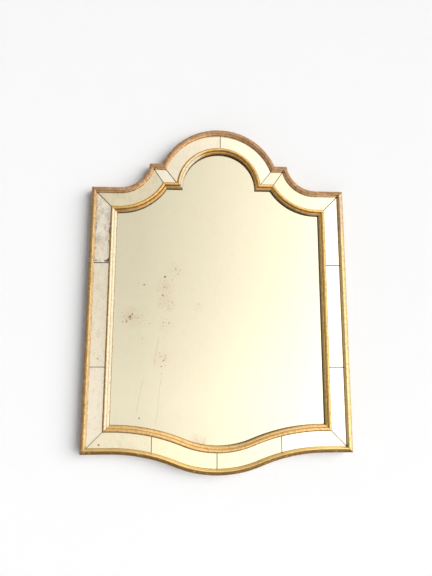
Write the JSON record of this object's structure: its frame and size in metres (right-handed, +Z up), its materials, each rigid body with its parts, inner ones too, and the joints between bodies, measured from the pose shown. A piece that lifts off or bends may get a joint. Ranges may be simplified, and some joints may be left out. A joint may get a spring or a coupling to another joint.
{
  "type": "wall mirror",
  "caption": "Wall mirror with an arched and stepped head, a serpentine foot and a border of mirror panels between an outer and an inner gilt moulding.",
  "frame": {"origin": "on the flat back, on the centre line, level with the bottom corners of the outer moulding", "axes": "+Z up the mirror, +Y into the wall, the mirror faces -Y, +X to the right seen from the front"},
  "size_m": [0.66, 0.03, 0.882],
  "materials": {
    "gilding": "water gilding on pine, rubbed and dusty",
    "border_mirror": "old silvered glass",
    "plate_mirror": "old silvered glass with foxing",
    "pine": "sawn and planed, bare",
    "beech": "bare dowel",
    "plywood": "aged face veneer",
    "screw_steel": "dull zinc",
    "hanger_steel": "dull zinc"
  },
  "bodies": {
    "frame": {"outer_left": "gilding", "outer_right": "gilding", "outer_bottom": "gilding", "outer_shoulder_left": "gilding", "outer_shoulder_right": "gilding", "outer_step_left": "gilding", "outer_step_right": "gilding", "outer_arch": "gilding", "inner_left": "gilding", "inner_right": "gilding", "inner_bottom": "gilding", "inner_shoulder_left": "gilding", "inner_shoulder_right": "gilding", "inner_step_left": "gilding", "inner_step_right": "gilding", "inner_arch": "gilding", "panel_left_low": "border_mirror", "panel_left_mid": "border_mirror", "panel_left_high": "border_mirror", "panel_right_low": "border_mirror", "panel_right_mid": "border_mirror", "panel_right_high": "border_mirror", "panel_bottom_1": "border_mirror", "panel_bottom_2": "border_mirror", "panel_bottom_3": "border_mirror", "panel_bottom_4": "border_mirror", "panel_shoulder_left": "border_mirror", "panel_shoulder_right": "border_mirror", "panel_step_left": "border_mirror", "panel_step_right": "border_mirror", "panel_arch_left": "border_mirror", "panel_arch_right": "border_mirror", "left_stile": "pine", "right_stile": "pine", "bottom_rail": "pine", "left_head_rail": "pine", "right_head_rail": "pine", "crest_rail": "pine", "lap_dowels": "beech", "glazing_blocks": "pine", "mirror_plate": "plate_mirror", "backboard": "plywood", "backboard_screws": "screw_steel", "hanger_screws": "screw_steel", "hanger_strap_left": "hanger_steel", "hanger_strap_right": "hanger_steel"},
    "ring_left": {"hanger_ring_left": "hanger_steel"},
    "ring_right": {"hanger_ring_right": "hanger_steel"}
  },
  "joints": [
    {"name": "ring_left_swing", "type": "hinge", "parent": "frame", "child": "ring_left", "pos_m": [-0.305, -0.00355, 0.52], "axis": [1, 0, 0], "range_deg": [-4, 175]},
    {"name": "ring_right_swing", "type": "hinge", "parent": "frame", "child": "ring_right", "pos_m": [0.305, -0.00355, 0.52], "axis": [1, 0, 0], "range_deg": [-4, 175]}
  ]
}
